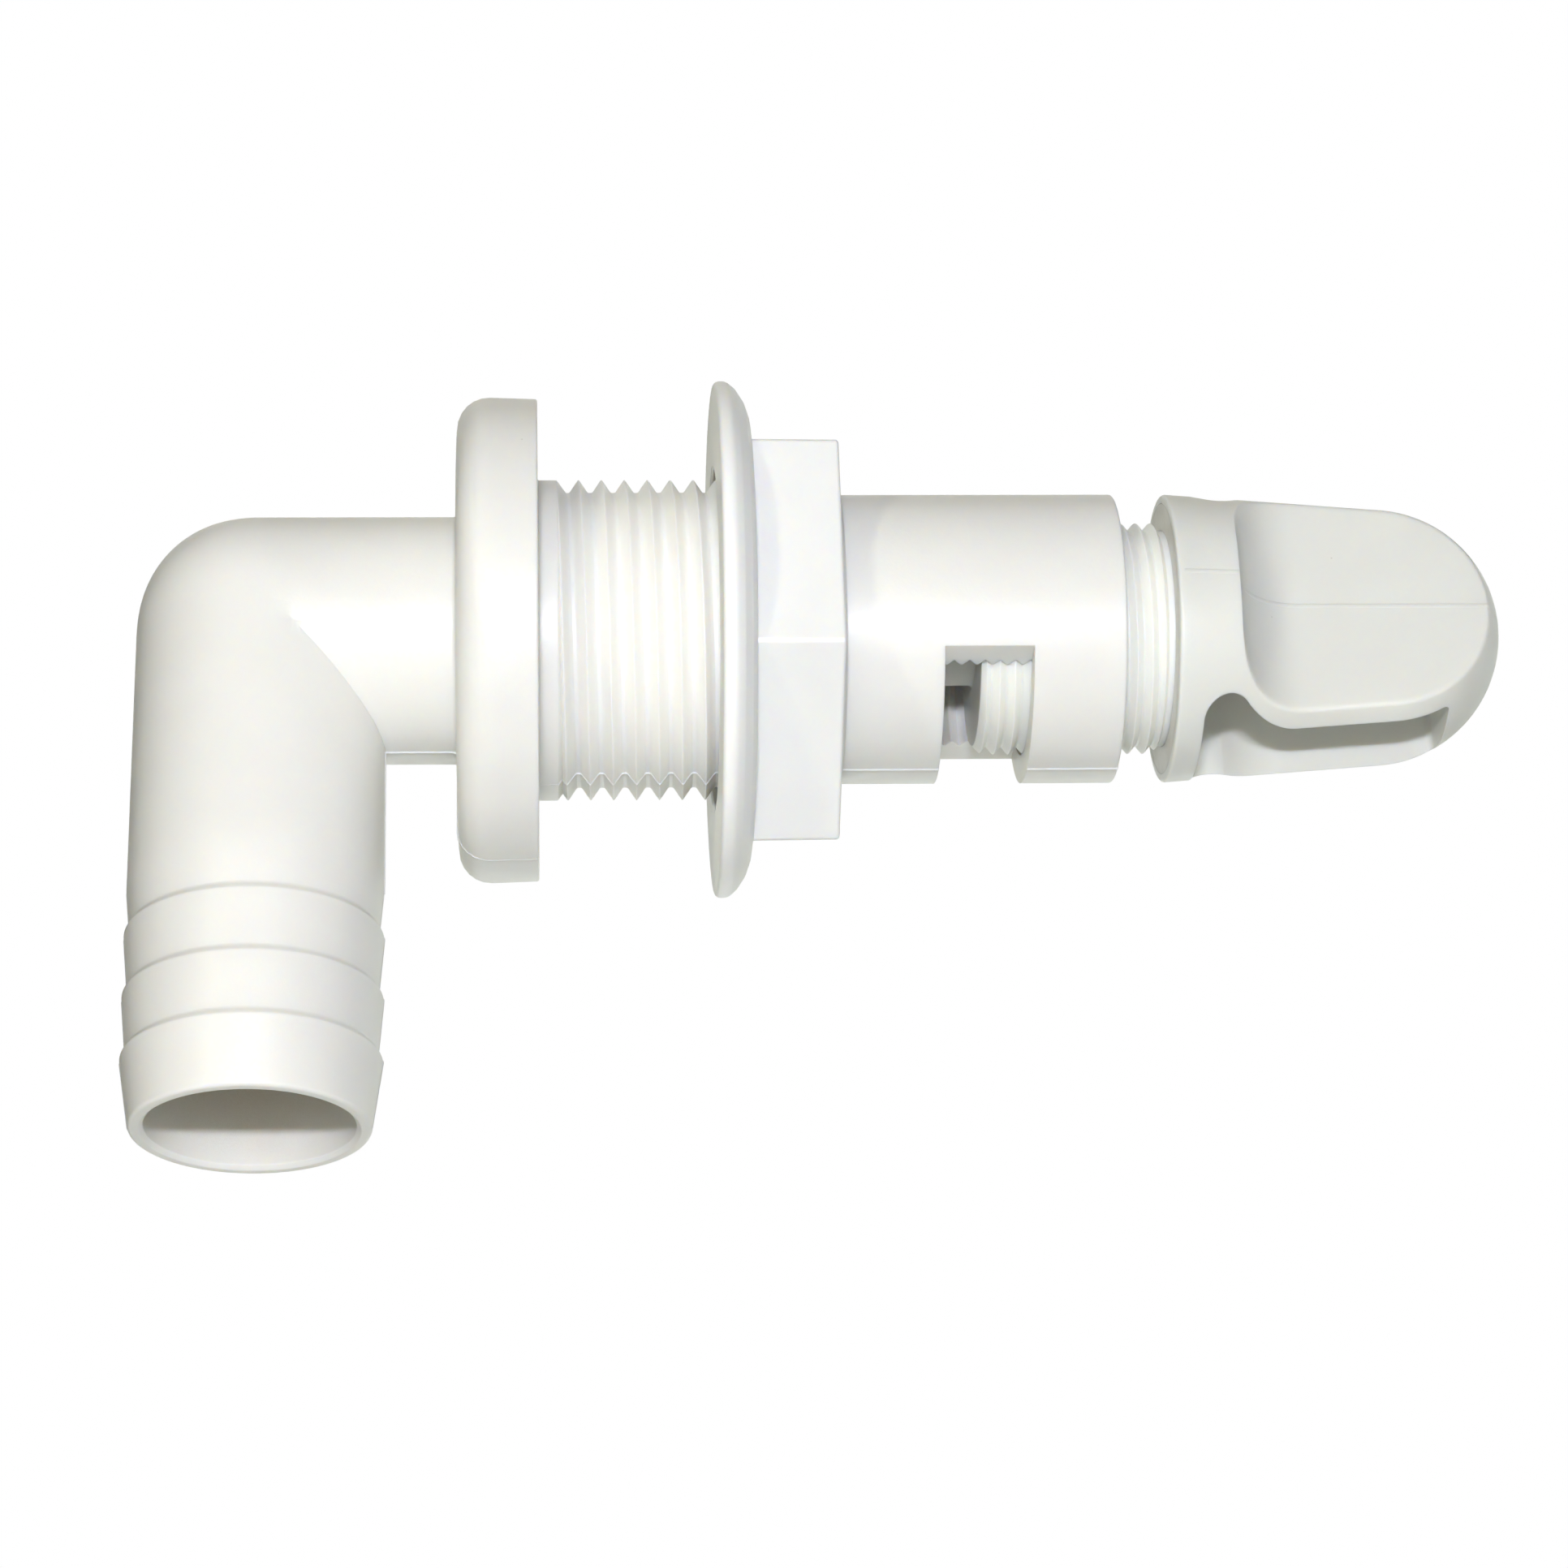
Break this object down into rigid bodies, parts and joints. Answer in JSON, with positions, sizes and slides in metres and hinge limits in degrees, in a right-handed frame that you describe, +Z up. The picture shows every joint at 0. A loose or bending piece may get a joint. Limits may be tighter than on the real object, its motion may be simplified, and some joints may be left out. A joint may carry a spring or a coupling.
{
  "type": "thru hull fitting",
  "caption": "Adjustable thru hull fitting: barbed hose elbow, round hull flange, threaded barrel, flanged nut and a screw knob that covers a spray window.",
  "frame": {"origin": "on the thread axis, at the clamping face of the hull flange, which is where the wall's hole is", "axes": "+X along the thread axis from the hose side to the knob, +Z up with the hose leg pointing down, +Y completes the set"},
  "size_m": [0.1086, 0.041, 0.062],
  "materials": {
    "white_plastic": "semi-gloss injection-moulded white plastic with a faint grain",
    "black_rubber": "soft matte rubber",
    "silicone": "satin milky silicone"
  },
  "bodies": {
    "fitting": {"fitting_body": "white_plastic"},
    "nut_seal": {"nut_seal_ring": "black_rubber"},
    "nut": {"flanged_nut": "white_plastic"},
    "knob_seal": {"knob_seal_ring": "silicone"},
    "knob": {"valve_knob": "white_plastic"}
  },
  "joints": [
    {"name": "nut_travel", "type": "slide", "parent": "fitting", "child": "nut_seal", "axis": [1, 0, 0], "range_m": [-0.0127, 0.00544]},
    {"name": "nut_turn", "type": "hinge", "parent": "nut_seal", "child": "nut", "pos_m": [0.0139, 0, 0], "axis": [1, 0, 0], "range_deg": [-2523, 1083]},
    {"name": "knob_travel", "type": "slide", "parent": "fitting", "child": "knob_seal", "axis": [1, 0, 0], "range_m": [-0.0036, 0.006]},
    {"name": "knob_turn", "type": "hinge", "parent": "knob_seal", "child": "knob", "pos_m": [0.0497, 0, 0], "axis": [1, 0, 0], "range_deg": [-1083, 1803]}
  ],
  "couplings": [
    {"joint": "nut_turn", "follows": "nut_travel", "rad_per_m": 3463.2},
    {"joint": "knob_turn", "follows": "knob_travel", "rad_per_m": 5236}
  ]
}
